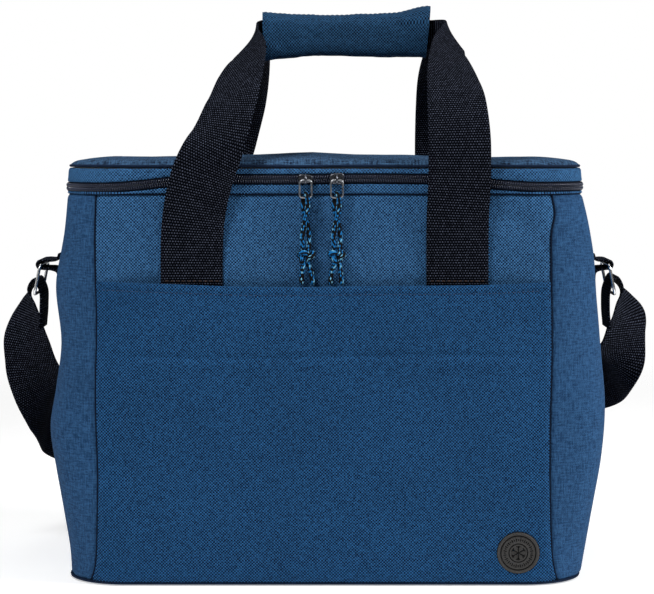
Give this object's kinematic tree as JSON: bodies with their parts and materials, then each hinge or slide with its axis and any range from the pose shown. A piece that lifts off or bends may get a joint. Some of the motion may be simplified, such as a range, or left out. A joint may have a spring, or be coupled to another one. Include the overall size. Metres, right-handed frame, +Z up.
{
  "type": "insulated cooler bag",
  "caption": "Soft-sided insulated lunch cooler bag with a zipped lid, front slip pocket, webbing carry handles joined by a padded wrap, and a shoulder strap.",
  "frame": {"origin": "centre of the base panel's underside, on the ground", "axes": "+Z up, -Y out of the front, +X to the right of someone who looks at the front"},
  "size_m": [0.4355, 0.2718, 0.357],
  "materials": {
    "fabric": "two-tone heather woven polyester",
    "webbing": "ribbed woven webbing, near-black navy",
    "piping": "woven piping over a cord",
    "foam": "closed-cell foam",
    "liner": "wipe-clean film, satin",
    "board": "plain sheet",
    "zip": "nylon coil and woven tape, navy",
    "zip_metal": "dark enamelled",
    "metal": "polished wire",
    "paracord": "braided cord with bright flecks",
    "rubber": "moulded matt rubber"
  },
  "bodies": {
    "cooler_body": {"base_panel": "fabric", "base_board": "board", "foam_tub": "foam", "liner_tub": "liner", "front_panel": "fabric", "back_panel": "fabric", "side_panel_left": "fabric", "side_panel_right": "fabric", "front_pocket_panel": "fabric", "badge": "rubber", "zip_band_lower": "fabric", "zip_tape_lower": "zip", "zip_coil_lower": "zip", "lid_hinge_strip": "fabric", "handle_tail_front_left": "webbing", "handle_tail_front_right": "webbing", "handle_tail_back_left": "webbing", "handle_tail_back_right": "webbing", "strap_tab_left": "webbing", "strap_tab_right": "webbing"},
    "lid": {"lid_top_panel": "fabric", "lid_side_band": "fabric", "lid_piping": "piping", "lid_foam": "foam", "lid_liner": "liner", "zip_tape_upper": "zip", "zip_coil_upper": "zip"},
    "front_handle": {"handle_front_webbing": "webbing", "grip_wrap": "fabric"},
    "back_handle": {"handle_back_webbing": "webbing", "grip_loop_panel": "fabric"},
    "strap_assembly": {"shoulder_strap": "webbing", "strap_adjuster": "metal", "strap_ring_left": "metal", "strap_ring_right": "metal", "strap_tab_loop_left": "webbing", "strap_tab_loop_right": "webbing"},
    "slider_left": {"zip_slider_left": "zip_metal"},
    "slider_right": {"zip_slider_right": "zip_metal"},
    "pull_left": {"zip_puller_left": "metal", "pull_cord_left": "paracord", "pull_knot_left": "paracord"},
    "pull_right": {"zip_puller_right": "metal", "pull_cord_right": "paracord", "pull_knot_right": "paracord"}
  },
  "joints": [
    {"name": "lid_hinge", "type": "hinge", "parent": "cooler_body", "child": "lid", "pos_m": [0, 0.097, 0.2513], "axis": [-1, 0, 0], "range_deg": [0, 100]},
    {"name": "front_handle_fold", "type": "hinge", "parent": "cooler_body", "child": "front_handle", "pos_m": [0, -0.108, 0.196], "axis": [1, 0, 0], "range_deg": [0, 170]},
    {"name": "back_handle_fold", "type": "hinge", "parent": "cooler_body", "child": "back_handle", "pos_m": [0, 0.107, 0.196], "axis": [-1, 0, 0], "range_deg": [0, 170]},
    {"name": "shoulder_strap_swing", "type": "hinge", "parent": "cooler_body", "child": "strap_assembly", "pos_m": [0, 0, 0.194], "axis": [1, 0, 0], "range_deg": [0, 140]},
    {"name": "zip_slide_left", "type": "slide", "parent": "cooler_body", "child": "slider_left", "axis": [-1, 0, 0], "range_m": [0, 0.038]},
    {"name": "zip_slide_right", "type": "slide", "parent": "cooler_body", "child": "slider_right", "axis": [1, 0, 0], "range_m": [0, 0.038]},
    {"name": "puller_swing_left", "type": "hinge", "parent": "slider_left", "child": "pull_left", "pos_m": [-0.0115, -0.1042, 0.2506], "axis": [-1, 0, 0], "range_deg": [0, 150]},
    {"name": "puller_swing_right", "type": "hinge", "parent": "slider_right", "child": "pull_right", "pos_m": [0.0075, -0.1042, 0.2506], "axis": [-1, 0, 0], "range_deg": [0, 150]}
  ],
  "couplings": [
    {"joint": "front_handle_fold", "follows": "lid_hinge", "ratio": 1.7},
    {"joint": "back_handle_fold", "follows": "lid_hinge", "ratio": 1.7}
  ]
}
